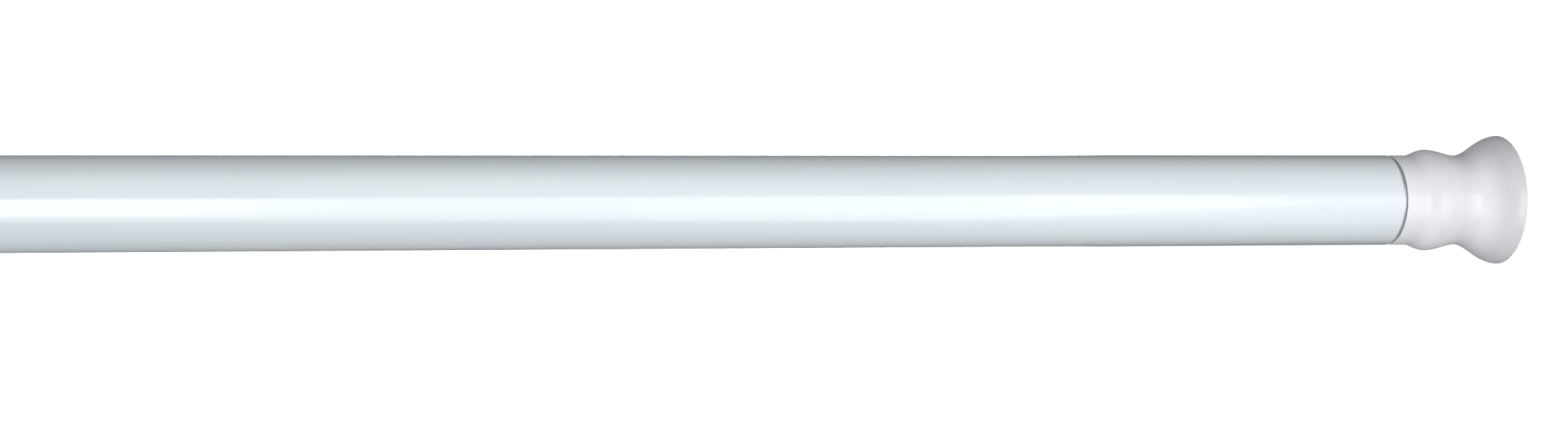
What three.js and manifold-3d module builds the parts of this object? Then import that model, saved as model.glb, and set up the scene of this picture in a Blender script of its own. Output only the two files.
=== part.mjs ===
// A white telescopic tension rod for a curtain. It is wedged between two facing walls: the inner
// tube slides out of the outer one, a twist locks it with an eccentric, and a spring presses the
// two flared end caps against the walls.
//
// Millimetres. X runs along the rod, with the right-hand wall at X = 0 and the rod on its -X side.
// Z is up. Every outline is drawn as (distance along the axis, radius).

import * as THREE from 'three';
import { mergeVertices } from 'three/addons/utils/BufferGeometryUtils.js';
import Module from 'manifold-3d';

const wasm = await Module();
wasm.setup();

// ---- driving dimensions ----

const outerTube = { radius: 12.5, wall: 0.8, length: 600 };
const innerTube = { radius: 11, wall: 0.8 };
const lip = { along: 0.45, deep: 0.3 }; // the bare chamfer on a tube's cut end at its cap
const closedLength = 700; // wall to wall, pushed right in
const restExtension = 40; // how far the stored rod is drawn out past that

const touch = 0.1; // between faces that bear on each other
const snug = 0.05; // radial, where one piece is pressed into another
const slide = 0.35; // radial, between the pieces inside and the outer tube's bore
const spare = 1; // how far a cutting shape runs past the face that it opens
const round = 64; // facets round a tube
const partRound = 44; // facets round a cap or a part of the lock
const fineRound = 20; // facets round a small turned piece

const outerBore = outerTube.radius - outerTube.wall;
const innerBore = innerTube.radius - innerTube.wall;

// The end cap: a collar flush with the tube, a rounded bead, a waist and a flared foot.
const cap = {
  spigotLength: 18,
  spigotPlay: 0.15,
  leadIn: { along: 1, deep: 0.6 }, // the taper that starts the spigot into its tube
  wall: 1.6,
  pocketStep: 0.3, // how much narrower the pocket starts than the spigot's hollow
  seam: 0.3,
  collarEnd: 5.9,
  crestAt: 11.75,
  crestRise: 1.6,
  waistAt: 21.2,
  flareAt: 28.7,
  flareRadius: 15.5,
  flareSlope: 0.62,
  footAt: 34.9,
  footRadius: 18,
  footRounding: 1.9,
  faceAt: 35.2,
  webThickness: 2,
  stemHole: 3.2,
  ledgeAt: 32.3,
  ledgeRadius: 13.4,
  recessRadius: 15,
};
const capRib = { count: 6, thickness: 1.4, inner: 4.2, rooted: 1 };
const crushRib = { radius: 0.6, proud: 0.11, inset: 2, stop: 1 };

// The soft pad in the foot of a cap stands a little proud of it and takes the wall.
const pad = { radius: 14.8, proud: 0.8, stem: 3, edge: 0.6 };
const padBarb = { radius: 3.9, tip: 2.3, land: 1, length: 3 };
const padGroove = { depth: 0.5, radii: [12.2, 9.4, 6.6] };
const capReach = cap.faceAt + pad.proud; // tube end to wall

// The ring over the cut end of the outer tube, which guides the inner tube.
const mouth = { front: 2.6, radius: 13.7, bore: 11.1, skirt: 9, sleeve: 8, corner: 1 };

// The lock: a split ring whose bore is off centre sits on an equally off-centre journal.
const lock = {
  ringLength: 18,
  ringPlay: 0.4,
  radius: outerBore - slide,
  offset: 0.4,
  journal: 6.5,
  ringBore: 6.85,
  slit: 2.4,
  grooves: 5,
  grooveDepth: 0.4,
  flange: 4,
  hub: 6.4,
  hubLength: 8,
  stopGap: 1.4,
};

const screw = {
  head: 4.2,
  headHeight: 2.4,
  headChamfer: 1,
  shank: 1.9,
  tip: 1.5,
  length: 12,
  slot: 1,
  slotDepth: 1.4,
};
const noseWasher = { radius: 11.2, bore: 2.2, thickness: 2 };
const rod = { across: 6, inSocket: 15.9, thread: 2.5, threadLength: 8 };
const crossPin = { radius: 1.15, length: 12.4, fromHubEnd: 4 };
const spring = { length: 60, mean: 8.3, wire: 0.8, turns: 10, endTurns: 1, steps: 12, sides: 8 };
const seatWasher = { radius: 10.4, bore: 6.6, thickness: 0.8 };
const bush = { flange: 3, length: 20, lead: 0.6, squareHole: 6.2, rivetFromFlange: 10 };
const rivet = { radius: 1.5, head: 2.2, headHeight: 0.3, length: 4, holeBeyond: 0.5 };
const stopWasher = { radius: 8, bore: 2.6, thickness: 1.2 };
const stopNut = { acrossFlats: 8, thickness: 4.5 };

// ---- where things stand along the rod ----

// On the lock, from the end of its journal, which faces the right-hand cap.
const journalBack = -lock.ringLength - lock.ringPlay;
const flangeBack = journalBack - lock.flange;
const hubBack = flangeBack - lock.hubLength;
const pinAt = hubBack + crossPin.fromHubEnd;
const springFront = flangeBack - seatWasher.thickness - 2 * touch;
const bushFront = springFront - spring.length - seatWasher.thickness - 2 * touch;
const bushBack = bushFront - bush.flange - bush.length;
const screwSeat = noseWasher.thickness + 2 * touch;

// On the whole rod, from the right-hand wall.
const outerTubeEnd = -capReach;
const lockClosed = outerTubeEnd - cap.spigotLength - lock.stopGap - screwSeat - screw.headHeight;
const lockAt = lockClosed - restExtension;
const bushAt = lockAt + bushFront;
const innerTubeBack = capReach - closedLength - restExtension;

// On the tail bush, from the face of its flange.
const rivetAt = -bush.flange - bush.rivetFromFlange;

// ---- materials ----

const material = (color, roughness, metalness) =>
  new THREE.MeshStandardMaterial({ color, roughness, metalness });

const tubeWhite = material('#e2eaed', 0.38, 0.1);
const capWhite = material('#e9e9ee', 0.5, 0);
const padGrey = material('#d6d6d8', 0.85, 0);
const nylon = material('#e6e2d6', 0.55, 0);
const zincSteel = material('#b9bcc0', 0.35, 1);
const springSteel = material('#8d9095', 0.3, 1);

// ---- solids ----

// Turns a closed outline round the X axis. It is drawn outside first, towards +X, and back inside.
function turned(outline, facets = round) {
  const points = outline.map(([along, radius]) => new THREE.Vector2(radius, along));
  const isOpen = points[0].x > 0 || points.at(-1).x > 0;
  if (isOpen) points.push(points[0].clone());
  return new THREE.LatheGeometry(points, facets).rotateZ(-Math.PI / 2);
}

const tubing = (from, to, radius, bore, facets = round) =>
  turned([[from, radius], [to, radius], [to, bore], [from, bore]], facets);

// A tube with its outer edge chamfered at the end that its cap closes: the low or the high end.
function chamferedTube(from, to, radius, bore, capEnd) {
  const lowEdge = [[from, radius - lip.deep], [from + lip.along, radius]];
  const highEdge = [[to - lip.along, radius], [to, radius - lip.deep]];
  return turned([
    ...(capEnd === from ? lowEdge : [[from, radius]]),
    ...(capEnd === to ? highEdge : [[to, radius]]),
    [to, bore],
    [from, bore],
  ]);
}

const bar = (from, to, radius, facets = fineRound) =>
  turned([[from, 0], [from, radius], [to, radius], [to, 0]], facets);

// A bar that crosses the axis, running up Z from one height to another.
const upright = (low, high, radius) => bar(low, high, radius).rotateY(-Math.PI / 2);

// A block from one distance along X to another, centred on the axis.
const block = (from, to, wide, high) =>
  new THREE.BoxGeometry(to - from, wide, high).translate((from + to) / 2, 0, 0);

// A plate of this thickness that stands in the XZ plane.
function plate(outline, thickness) {
  const shape = new THREE.Shape(outline.map(([x, z]) => new THREE.Vector2(x, z)));
  const flat = new THREE.ExtrudeGeometry(shape, { depth: thickness, bevelEnabled: false });
  return flat.rotateX(Math.PI / 2).translate(0, thickness / 2, 0);
}

function spunCopies(geometry, count, firstAngle = 0) {
  const copies = [];
  for (let i = 0; i < count; i += 1) {
    copies.push(geometry.clone().rotateX(firstAngle + (i * 2 * Math.PI) / count));
  }
  return copies;
}

const outlineOf = (path, divisions) =>
  path.getPoints(divisions).map((point) => [point.x, point.y]);

function solidOf(geometry) {
  const bare = geometry.clone();
  bare.deleteAttribute('normal');
  bare.deleteAttribute('uv');
  const merged = mergeVertices(bare, 1e-4);
  return new wasm.Manifold(
    new wasm.Mesh({
      numProp: 3,
      vertProperties: merged.attributes.position.array,
      triVerts: new Uint32Array(merged.index.array),
    }),
  );
}

function geometryOf(solid) {
  const { vertProperties, triVerts } = solid.getMesh();
  const geometry = new THREE.BufferGeometry();
  geometry.setAttribute('position', new THREE.BufferAttribute(vertProperties, 3));
  geometry.setIndex(new THREE.BufferAttribute(triVerts, 1));
  geometry.computeVertexNormals();
  return geometry;
}

const joined = (first, ...others) =>
  geometryOf(others.reduce((sum, other) => sum.add(solidOf(other)), solidOf(first)));

const cut = (first, ...others) =>
  geometryOf(others.reduce((left, other) => left.subtract(solidOf(other)), solidOf(first)));

function piece(name, geometry, finish) {
  const mesh = new THREE.Mesh(geometry, finish);
  mesh.name = name;
  return mesh;
}

function groupAt(x, ...members) {
  const group = new THREE.Group();
  group.position.x = x;
  group.add(...members);
  return group;
}

// Points a group's own +X the other way along the rod.
function facingLeft(group) {
  group.rotation.z = Math.PI;
  return group;
}

// ---- end caps, from the end of their tube ----

// The outside of a cap, from its seam with a tube of this radius to the face of its foot.
function capOutline(tubeRadius) {
  const path = new THREE.Path();
  const sweepTo = (along, radius, slopeLeaving, slopeArriving) => {
    const { x, y } = path.currentPoint;
    const third = (along - x) / 3;
    const leaving = [x + third, y + slopeLeaving * third];
    const arriving = [along - third, radius - slopeArriving * third];
    path.bezierCurveTo(...leaving, ...arriving, along, radius);
  };
  path.moveTo(cap.seam, tubeRadius - cap.seam);
  path.lineTo(2 * cap.seam, tubeRadius);
  path.lineTo(cap.collarEnd, tubeRadius);
  sweepTo(cap.crestAt, tubeRadius + cap.crestRise, 0, 0);
  sweepTo(cap.waistAt, tubeRadius, 0, 0);
  sweepTo(cap.flareAt, cap.flareRadius, 0, cap.flareSlope);
  sweepTo(cap.footAt, cap.footRadius, cap.flareSlope, 0);
  const landRadius = cap.footRadius - cap.footRounding;
  path.quadraticCurveTo(cap.faceAt, cap.footRadius, cap.faceAt, landRadius);
  return outlineOf(path, 5);
}

// One moulding: a hollow spigot in the tube, a web across the waist, and a ribbed pocket that
// opens towards the wall and ends in the ledge and recess for the pad.
function capShell(tubeRadius, tubeBore) {
  const spigot = tubeBore - cap.spigotPlay;
  const hollow = spigot - cap.wall;
  const webBack = cap.waistAt - cap.webThickness / 2;
  const webFront = cap.waistAt + cap.webThickness / 2;
  const shell = turned([
    [-cap.spigotLength, spigot - cap.leadIn.deep],
    [cap.leadIn.along - cap.spigotLength, spigot],
    [cap.seam, spigot],
    ...capOutline(tubeRadius),
    [cap.faceAt, cap.recessRadius],
    [cap.ledgeAt, cap.recessRadius],
    [cap.ledgeAt, cap.ledgeRadius],
    [webFront, hollow - cap.pocketStep],
    [webFront, cap.stemHole],
    [webBack, cap.stemHole],
    [webBack, hollow],
    [-cap.spigotLength, hollow],
  ], partRound);
  const rib = plate([
    [cap.waistAt, capRib.inner],
    [cap.ledgeAt, capRib.inner],
    [cap.ledgeAt, cap.ledgeRadius + capRib.rooted],
    [cap.waistAt, hollow + capRib.rooted],
  ], capRib.thickness);
  const gripAt = spigot + crushRib.proud - crushRib.radius;
  const gripFrom = crushRib.inset - cap.spigotLength;
  const grip = bar(gripFrom, -crushRib.stop, crushRib.radius, 6).translate(0, 0, gripAt);
  return joined(
    shell,
    ...spunCopies(rib, capRib.count),
    ...spunCopies(grip, capRib.count, Math.PI / capRib.count),
  );
}

// A disc with ring grooves in its face, and a barbed stem that snaps through the cap's web.
function wallPad() {
  const back = cap.ledgeAt + touch;
  const barbFront = cap.waistAt - cap.webThickness / 2 - touch;
  const outline = [
    [barbFront - padBarb.length, 0],
    [barbFront - padBarb.length, padBarb.tip],
    [barbFront - padBarb.land, padBarb.radius],
    [barbFront, padBarb.radius],
    [barbFront, pad.stem],
    [back, pad.stem],
    [back, pad.radius],
    [capReach - pad.edge, pad.radius],
    [capReach, pad.radius - pad.edge],
  ];
  for (const radius of padGroove.radii) {
    outline.push([capReach, radius + padGroove.depth]);
    outline.push([capReach - padGroove.depth, radius]);
    outline.push([capReach, radius - padGroove.depth]);
  }
  outline.push([capReach, 0]);
  return turned(outline, partRound);
}

const cappedEnd = (side, x, tubeRadius, tubeBore) =>
  groupAt(
    x,
    piece(`end_cap_${side}`, capShell(tubeRadius, tubeBore), capWhite),
    piece(`wall_pad_${side}`, wallPad(), padGrey),
  );

// ---- the outer tube's mouth, from the cut end of the tube ----

// A channel section: the tube's end sits between the skirt outside and the sleeve inside.
function mouthCollar() {
  const { front, radius, bore, skirt, sleeve, corner } = mouth;
  const path = new THREE.Path();
  path.moveTo(-skirt, outerTube.radius + snug);
  path.lineTo(-skirt, radius - corner / 2);
  path.lineTo(corner / 2 - skirt, radius);
  path.lineTo(front - corner, radius);
  path.quadraticCurveTo(front, radius, front, radius - corner);
  path.lineTo(front, bore + corner / 2);
  path.lineTo(front - corner / 2, bore);
  path.lineTo(-sleeve, bore);
  path.lineTo(-sleeve, outerBore - snug);
  path.lineTo(touch, outerBore - snug);
  path.lineTo(touch, outerTube.radius + snug);
  return turned(outlineOf(path, 2));
}

// ---- the lock, from the end of its journal ----

// The split ring grips the tube with its grooved outside when the journal turns in it.
function lockRing() {
  const front = -lock.ringPlay / 2;
  const back = front - lock.ringLength;
  const pitch = lock.ringLength / (lock.grooves + 1);
  const solidCore = lock.journal / 2;
  const outline = [[back, lock.radius]];
  for (let i = 1; i <= lock.grooves; i += 1) {
    const at = back + i * pitch;
    outline.push([at - lock.grooveDepth, lock.radius]);
    outline.push([at, lock.radius - lock.grooveDepth]);
    outline.push([at + lock.grooveDepth, lock.radius]);
  }
  outline.push([front, lock.radius], [front, solidCore], [back, solidCore]);
  const bore = bar(back - spare, spare, lock.ringBore, partRound).translate(0, 0, lock.offset);
  const slit = block(back - spare, spare, lock.slit, outerBore);
  slit.translate(0, 0, -outerBore / 2 - solidCore / 2);
  return cut(turned(outline, partRound), bore, slit);
}

// The journal, its flange and the hub that the spring sits round, bored for the rod and the screw.
function lockSpindle() {
  const journal = bar(journalBack - spare, 0, lock.journal, partRound).translate(0, 0, lock.offset);
  const flangeAndHub = turned([
    [hubBack, 0],
    [hubBack, lock.hub],
    [flangeBack, lock.hub],
    [flangeBack, lock.radius],
    [journalBack, lock.radius],
    [journalBack, 0],
  ], partRound);
  const socket = rod.across + 2 * snug;
  return cut(
    joined(journal, flangeAndHub),
    block(hubBack - spare, hubBack + rod.inSocket + touch, socket, socket),
    bar(-screw.length - spare / 2, spare, screw.shank + snug),
    upright(-lock.hub - spare, lock.hub + spare, crossPin.radius + snug).translate(pinAt, 0, 0),
  );
}

const washer = (back, { radius, bore, thickness }) =>
  tubing(back, back + thickness, radius, bore, partRound);

// A pan head with a cross slot.
function retainingScrew() {
  const top = screwSeat + screw.headHeight;
  const body = turned([
    [-screw.length, 0],
    [screw.tip - screw.length, screw.shank],
    [screwSeat, screw.shank],
    [screwSeat, screw.head],
    [top - screw.headChamfer, screw.head],
    [top, screw.head - screw.headChamfer],
    [top, 0],
  ], fineRound);
  const slot = block(top - screw.slotDepth, top + spare, screw.slot, 1.2 * screw.head);
  return cut(body, slot, slot.clone().rotateX(Math.PI / 2));
}

// The square bar that the spring pulls on, turned down at its far end for the stop nut.
function drawRod() {
  return cut(
    joined(
      block(bushBack, hubBack + rod.inSocket, rod.across, rod.across),
      bar(bushBack - rod.threadLength, bushBack + spare, rod.thread),
    ),
    upright(-rod.across, rod.across, crossPin.radius + snug).translate(pinAt, 0, 0),
  );
}

function hexagonNut() {
  const front = bushBack - stopWasher.thickness - 2 * touch;
  const back = front - stopNut.thickness;
  const cornerRadius = stopNut.acrossFlats / Math.sqrt(3);
  const hole = bar(back - spare, front + spare, rod.thread + snug);
  return cut(bar(back, front, cornerRadius, 6), hole);
}

// The centre line of a spring with closed end turns, wound from X = 0 towards -X.
class SpringCurve extends THREE.Curve {
  constructor() {
    super();
    this.allTurns = spring.turns + 2 * spring.endTurns;
    this.closedPitch = 2 * spring.wire + touch;
    this.arcLengthDivisions = this.allTurns * 4 * spring.steps;
  }

  getPoint(t, target = new THREE.Vector3()) {
    const turn = t * this.allTurns;
    const open = THREE.MathUtils.clamp((turn - spring.endTurns) / spring.turns, 0, 1);
    const closed = turn - open * spring.turns;
    const openLength = spring.length - 2 * (spring.wire + spring.endTurns * this.closedPitch);
    const along = spring.wire + closed * this.closedPitch + open * openLength;
    const angle = turn * 2 * Math.PI;
    return target.set(-along, spring.mean * Math.cos(angle), spring.mean * Math.sin(angle));
  }
}

function springWire() {
  const curve = new SpringCurve();
  const section = new THREE.Shape().absarc(0, 0, spring.wire, 0, 2 * Math.PI);
  return new THREE.ExtrudeGeometry(section, {
    curveSegments: spring.sides / 2,
    steps: curve.allTurns * spring.steps,
    extrudePath: curve,
  });
}

// ---- the inner tube and its tail bush, from the face of the bush's flange ----

function rivetHoles() {
  const deep = innerTube.radius - rivet.length - rivet.holeBeyond;
  const hole = upright(deep, outerBore, rivet.radius + touch).translate(rivetAt, 0, 0);
  return spunCopies(hole, 2);
}

// Pressed into the inner tube and riveted: its flange runs in the outer tube, and its square hole
// turns the rod when the inner tube is twisted.
function tailBush() {
  const back = -bush.flange - bush.length;
  const fitted = innerBore - snug;
  const body = turned([
    [back, 0],
    [back, fitted - bush.lead],
    [back + bush.lead, fitted],
    [-bush.flange, fitted],
    [-bush.flange, lock.radius],
    [0, lock.radius],
    [0, 0],
  ], partRound);
  const squareHole = block(back - spare, spare, bush.squareHole, bush.squareHole);
  return cut(body, squareHole, ...rivetHoles());
}

function innerTubeSolid() {
  const back = innerTubeBack - bushAt;
  const front = -bush.flange - touch;
  return cut(chamferedTube(back, front, innerTube.radius, innerBore, back), ...rivetHoles());
}

function bushRivets() {
  const seat = innerTube.radius + snug;
  const lowHead = turned([
    [seat - rivet.length, 0],
    [seat - rivet.length, rivet.radius],
    [seat, rivet.radius],
    [seat, rivet.head],
    [seat + rivet.headHeight, rivet.head - rivet.headHeight],
    [seat + rivet.headHeight, 0],
  ], fineRound);
  return spunCopies(lowHead.rotateY(-Math.PI / 2).translate(rivetAt, 0, 0), 2);
}

// ---- assembly ----

function outerAssembly() {
  const { radius, length } = outerTube;
  return groupAt(
    outerTubeEnd,
    piece('outer_tube', chamferedTube(-length, 0, radius, outerBore, 0), tubeWhite),
    facingLeft(groupAt(-length, piece('mouth_collar', mouthCollar(), nylon))),
    cappedEnd('right', 0, radius, outerBore),
  );
}

function lockAssembly() {
  const pin = upright(-crossPin.length / 2, crossPin.length / 2, crossPin.radius);
  const frontWasherAt = flangeBack - touch - seatWasher.thickness;
  const stopWasherAt = bushBack - touch - stopWasher.thickness;
  return groupAt(
    lockAt,
    piece('lock_ring', lockRing(), nylon),
    piece('lock_spindle', lockSpindle(), nylon),
    piece('nose_washer', washer(touch, noseWasher), zincSteel),
    piece('retaining_screw', retainingScrew(), zincSteel),
    piece('draw_rod', drawRod(), zincSteel),
    piece('spindle_cross_pin', pin.translate(pinAt, 0, 0), zincSteel),
    piece('spring_washer_front', washer(frontWasherAt, seatWasher), zincSteel),
    groupAt(springFront, piece('compression_spring', springWire(), springSteel)),
    piece('stop_washer', washer(stopWasherAt, stopWasher), zincSteel),
    piece('stop_nut', hexagonNut(), zincSteel),
  );
}

function innerAssembly() {
  const [rivetTop, rivetBottom] = bushRivets();
  return groupAt(
    bushAt,
    piece('spring_washer_rear', washer(touch, seatWasher), zincSteel),
    piece('tail_bush', tailBush(), nylon),
    piece('bush_rivet_top', rivetTop, zincSteel),
    piece('bush_rivet_bottom', rivetBottom, zincSteel),
    piece('inner_tube', innerTubeSolid(), tubeWhite),
    facingLeft(cappedEnd('left', innerTubeBack - bushAt, innerTube.radius, innerBore)),
  );
}

const tensionRod = new THREE.Group();
tensionRod.add(outerAssembly(), lockAssembly(), innerAssembly());

export default tensionRod;
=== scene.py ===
import math

import bpy
from mathutils import Matrix, Vector


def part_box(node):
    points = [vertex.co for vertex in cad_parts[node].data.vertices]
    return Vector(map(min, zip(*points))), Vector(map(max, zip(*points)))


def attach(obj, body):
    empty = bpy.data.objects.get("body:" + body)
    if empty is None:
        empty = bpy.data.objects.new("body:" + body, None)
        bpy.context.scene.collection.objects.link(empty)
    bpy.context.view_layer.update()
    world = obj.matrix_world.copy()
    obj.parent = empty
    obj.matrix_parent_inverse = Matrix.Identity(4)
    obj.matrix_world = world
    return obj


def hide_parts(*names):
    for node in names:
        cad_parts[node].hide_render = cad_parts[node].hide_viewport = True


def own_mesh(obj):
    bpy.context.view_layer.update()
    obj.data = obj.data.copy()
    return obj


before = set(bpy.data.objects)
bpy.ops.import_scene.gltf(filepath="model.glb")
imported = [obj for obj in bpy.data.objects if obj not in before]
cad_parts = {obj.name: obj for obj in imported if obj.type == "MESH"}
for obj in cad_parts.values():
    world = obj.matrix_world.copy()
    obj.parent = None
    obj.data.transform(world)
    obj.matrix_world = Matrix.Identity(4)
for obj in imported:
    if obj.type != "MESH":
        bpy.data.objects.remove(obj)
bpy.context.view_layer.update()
mm = 0.001


# Places along the rod in metres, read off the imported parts. The right-hand wall is at 0.
def lowX(node):
    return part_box(node)[0].x


def highX(node):
    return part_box(node)[1].x


tubeRight = highX("outer_tube")
tubeMouth = lowX("outer_tube")
innerLeft = lowX("inner_tube")
tube = {"radius": 12.5, "wall": 0.8}  # the outer tube, millimetres
slimTube = {"radius": 11, "wall": 0.8}  # the tube that slides in it
play = {"radial": 0.35, "snug": 0.05, "touch": 0.1}  # clearances inside the rod
past = 1  # how far a cutting shape reaches past the piece it cuts
tubeBore = tube["radius"] - tube["wall"]
slimBore = slimTube["radius"] - slimTube["wall"]
runningRadius = tubeBore - play["radial"]
print("frame loaded:", len(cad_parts), "parts")


def connect(tree, socket, value):
    if isinstance(value, bpy.types.Node):
        value = value.outputs[0]
    if isinstance(value, bpy.types.NodeSocket):
        tree.links.new(value, socket)
    else:
        socket.default_value = value


# Adds a node; an input's name is written with underscores for its spaces.
def addNode(tree, kind, settings=None, **inputs):
    node = tree.nodes.new(kind)
    for key, value in (settings or {}).items():
        setattr(node, key, value)
    for key, value in inputs.items():
        connect(tree, node.inputs[key.replace("_", " ")], value)
    return node


def calc(tree, operation, first, second=0.0, third=0.0, clamp=False):
    node = tree.nodes.new("ShaderNodeMath")
    node.operation = operation
    node.use_clamp = clamp
    for socket, value in zip(node.inputs, (first, second, third)):
        connect(tree, socket, value)
    return node.outputs[0]


def newShapeTree(name, sockets):
    tree = bpy.data.node_groups.new(name, "GeometryNodeTree")
    tree.interface.new_socket("Geometry", in_out="INPUT", socket_type="NodeSocketGeometry")
    for label, kind, default in sockets:
        socket = tree.interface.new_socket(label, in_out="INPUT", socket_type="NodeSocket" + kind)
        if default is not None:
            socket.default_value = default
    tree.interface.new_socket("Geometry", in_out="OUTPUT", socket_type="NodeSocketGeometry")
    return tree, tree.nodes.new("NodeGroupInput").outputs


# Turns what the modifiers make into the object's own plain mesh.
def keepResult(obj):
    bpy.context.view_layer.update()
    made = obj.evaluated_get(bpy.context.evaluated_depsgraph_get())
    mesh = bpy.data.meshes.new_from_object(made)
    obj.modifiers.clear()
    obj.data = mesh
    mesh.name = obj.name
    for i in reversed(range(len(mesh.materials))):
        if mesh.materials[i] is None:
            mesh.materials.pop(index=i)
    return obj


def shapeWith(obj, tree, values):
    modifier = obj.modifiers.new("shape", "NODES")
    modifier.node_group = tree
    for item in tree.interface.items_tree:
        if item.item_type == "SOCKET" and item.in_out == "INPUT" and item.name in values:
            modifier[item.identifier] = values[item.name]
    return keepResult(obj)


def newObject(name, vertices, edges=(), faces=()):
    mesh = bpy.data.meshes.new(name)
    mesh.from_pydata(vertices, edges, faces)
    obj = bpy.data.objects.new(name, mesh)
    bpy.context.scene.collection.objects.link(obj)
    return obj


def shadeByAngle(obj, degrees=32):
    obj.data.shade_smooth()
    obj.data.set_sharp_from_angle(angle=math.radians(degrees))
    return obj


# Spins an outline of (along X, radius) points round the X axis. A thread can be cut in a stretch of
# it, and faces between points marked bare get the second finish.
def makeTurnedTree():
    tree, given = newShapeTree("turnedShape", [
        ("Facets", "Int", 128),
        ("Thread Pitch", "Float", 0.8 * mm),
        ("Thread Depth", "Float", 0.0),
        ("Thread From", "Float", 0.0),
        ("Thread To", "Float", 0.0),
        ("Finish", "Material", None),
        ("Bare Finish", "Material", None),
    ])
    size = addNode(tree, "GeometryNodeAttributeDomainSize", Geometry=given["Geometry"])
    count = size.outputs["Point Count"]
    index = addNode(tree, "GeometryNodeInputIndex")
    facet = calc(tree, "FLOOR", calc(tree, "DIVIDE", calc(tree, "ADD", index, 0.5), count))
    point = calc(tree, "SUBTRACT", index, calc(tree, "MULTIPLY", facet, count))
    place = addNode(tree, "GeometryNodeSampleIndex", {"data_type": "FLOAT_VECTOR"},
                    Geometry=given["Geometry"], Index=point,
                    Value=addNode(tree, "GeometryNodeInputPosition"))
    bareMark = addNode(tree, "GeometryNodeInputNamedAttribute", {"data_type": "FLOAT"}, Name="bare")
    bare = addNode(tree, "GeometryNodeSampleIndex", {"data_type": "FLOAT"},
                   Geometry=given["Geometry"], Index=point, Value=bareMark)
    parts = addNode(tree, "ShaderNodeSeparateXYZ", Vector=place)
    along, radius = parts.outputs["X"], parts.outputs["Z"]
    turn = calc(tree, "DIVIDE", facet, given["Facets"])
    phase = calc(tree, "ADD", calc(tree, "DIVIDE", along, given["Thread Pitch"]), turn)
    ridge = calc(tree, "PINGPONG", calc(tree, "MULTIPLY", phase, 2.0), 1.0)
    inThread = calc(tree, "MULTIPLY",
                    calc(tree, "GREATER_THAN", along, given["Thread From"]),
                    calc(tree, "LESS_THAN", along, given["Thread To"]))
    cutIn = calc(tree, "MULTIPLY", calc(tree, "MULTIPLY", ridge, inThread), given["Thread Depth"])
    reach = calc(tree, "SUBTRACT", radius, cutIn)
    angle = calc(tree, "MULTIPLY", turn, -2 * math.pi)
    spun = addNode(tree, "ShaderNodeCombineXYZ", X=along,
                   Y=calc(tree, "MULTIPLY", reach, calc(tree, "SINE", angle)),
                   Z=calc(tree, "MULTIPLY", reach, calc(tree, "COSINE", angle)))
    columns = calc(tree, "ADD", given["Facets"], 1.0)
    grid = addNode(tree, "GeometryNodeMeshGrid", Vertices_X=columns, Vertices_Y=count)
    kept = addNode(tree, "GeometryNodeStoreNamedAttribute", {"data_type": "FLOAT", "domain": "POINT"},
                   Geometry=grid.outputs["Mesh"], Name="isBare", Value=bare)
    placed = addNode(tree, "GeometryNodeSetPosition", Geometry=kept, Position=spun)
    closed = addNode(tree, "GeometryNodeMergeByDistance", Geometry=placed, Distance=0.0005 * mm)
    whole = addNode(tree, "GeometryNodeRealizeInstances", Geometry=closed)
    coated = addNode(tree, "GeometryNodeSetMaterial", Geometry=whole, Material=given["Finish"])
    mark = addNode(tree, "GeometryNodeInputNamedAttribute", {"data_type": "FLOAT"}, Name="isBare")
    bared = addNode(tree, "GeometryNodeSetMaterial", Geometry=coated, Material=given["Bare Finish"],
                    Selection=calc(tree, "GREATER_THAN", mark, 0.4))
    addNode(tree, "NodeGroupOutput", Geometry=bared)
    return tree


turnedTree = makeTurnedTree()


# Rounds the corners of an outline. A corner is (along, radius, rounding, bare), millimetres.
def softened(corners, isLoop, steps=5):
    points = []
    count = len(corners)
    for i, (along, radius, *rest) in enumerate(corners):
        rounding, bare = (list(rest) + [0, 0])[:2]
        here = Vector((along, radius))
        if rounding == 0 or (not isLoop and i in (0, count - 1)):
            points.append((along, radius, float(bare)))
            continue
        before = Vector(corners[i - 1][:2])
        after = Vector(corners[(i + 1) % count][:2])
        start = here + (before - here).normalized() * min(rounding, (before - here).length / 2)
        stop = here + (after - here).normalized() * min(rounding, (after - here).length / 2)
        for k in range(steps + 1):
            t = k / steps
            spot = start * (1 - t) ** 2 + here * 2 * t * (1 - t) + stop * t ** 2
            points.append((spot.x, spot.y, float(bare)))
    return points


# Outline of a solid bar, its edges rounded or its ends drawn out to points by the taper.
def barOutline(start, stop, radius, edge=0, taper=0):
    return [(start, 0), (start + taper, radius, edge), (stop - taper, radius, edge), (stop, 0)]


# Turns an outline drawn outside first, along its own +X, and back inside. It starts at origin and
# runs to the right, or to the left where direction is -1.
def turnPiece(name, corners, finish, bareFinish=None, origin=0.0, direction=1, facets=96, thread=None):
    isLoop = corners[0][1] > 0 or corners[-1][1] > 0
    points = softened(corners, isLoop)
    if isLoop:
        points.append(points[0])
    if direction < 0:
        points.reverse()
    vertices = [(origin + direction * along * mm, 0.0, radius * mm) for along, radius, _ in points]
    obj = newObject(name, vertices, [(i, i + 1) for i in range(len(points) - 1)])
    marks = obj.data.attributes.new("bare", "FLOAT", "POINT")
    marks.data.foreach_set("value", [p[2] for p in points])
    values = {"Facets": facets, "Finish": finish, "Bare Finish": bareFinish or finish}
    for key, value in (thread or {}).items():
        values["Thread " + key] = value
    shapeWith(obj, turnedTree, values)
    return shadeByAngle(obj)


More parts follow.
